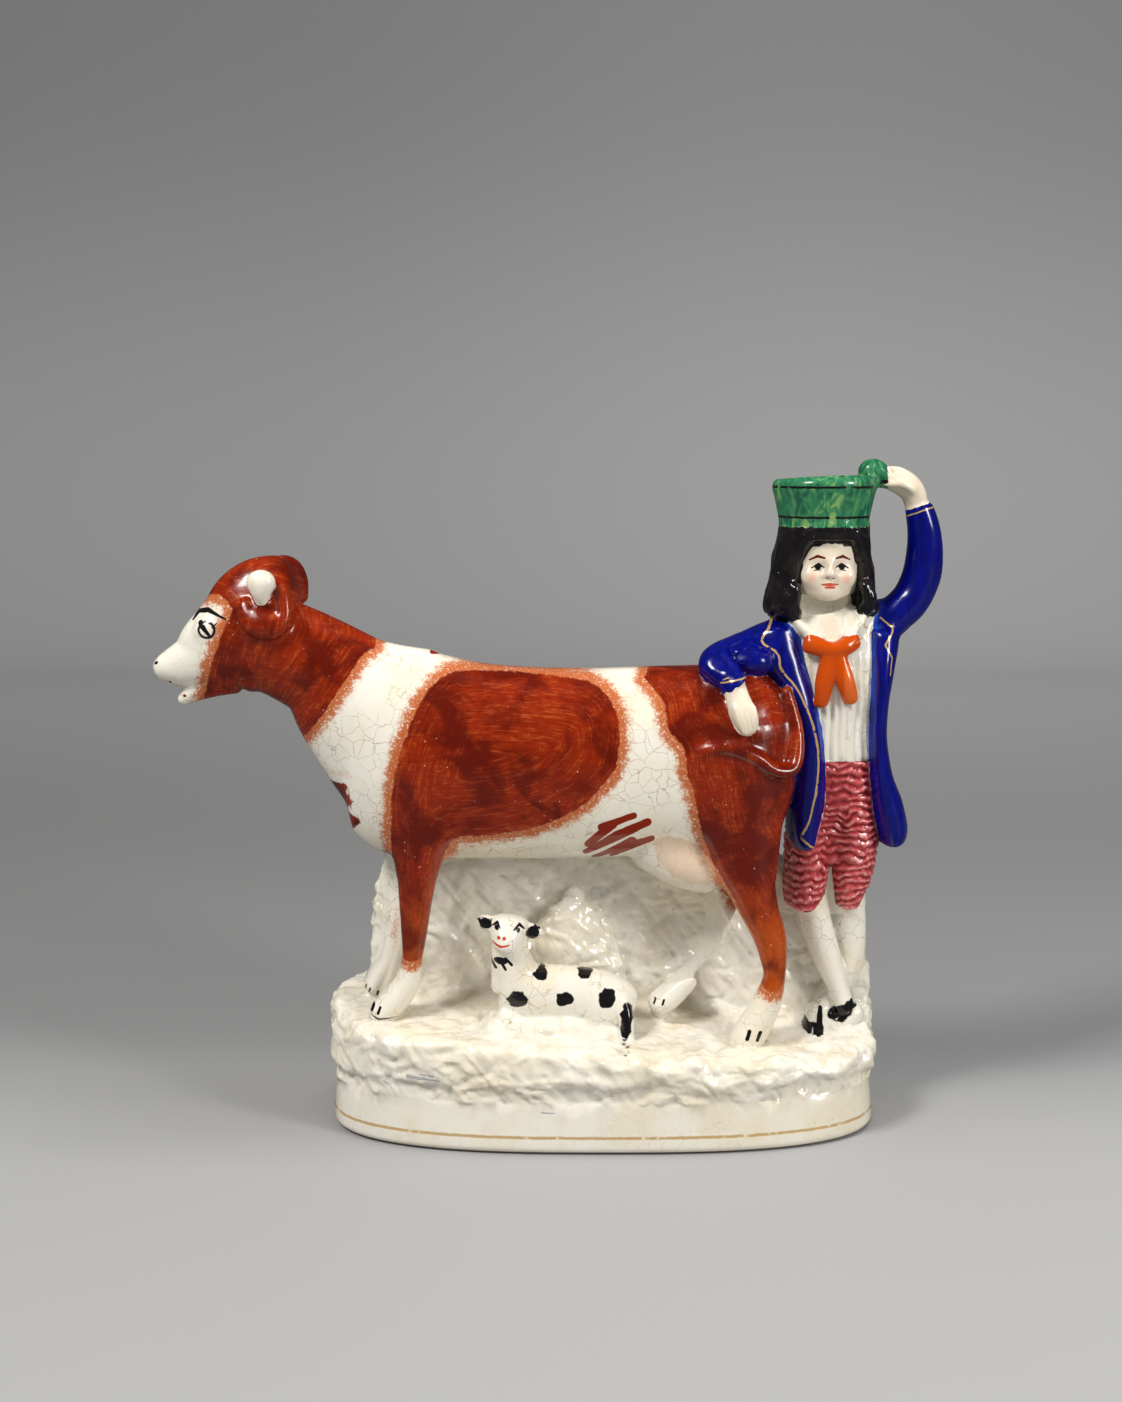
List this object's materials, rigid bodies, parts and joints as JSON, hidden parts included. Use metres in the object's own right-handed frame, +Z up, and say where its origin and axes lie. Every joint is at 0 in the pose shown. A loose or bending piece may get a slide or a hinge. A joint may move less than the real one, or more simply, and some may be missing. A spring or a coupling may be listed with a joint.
{
  "type": "figural spill vase",
  "caption": "Glazed pottery spill vase: a cow with her calf and a young farmer leaning on her back, on an oval rocky base; the farmer's hollow hat holds the spills.",
  "frame": {"origin": "centre of the base's underside, on the surface that it stands on", "axes": "+Z up, +X from the cow's nose to the farmer, +Y from the painted front to the back"},
  "size_m": [0.2551, 0.086, 0.2157],
  "materials": {
    "glazed_earthenware": "cream lead glaze, finely crazed, painted in iron red, cobalt blue, green, orange, pink and black with worn gold lines"
  },
  "bodies": {
    "root": {"cow_and_farmer_group": "glazed_earthenware"}
  },
  "joints": []
}
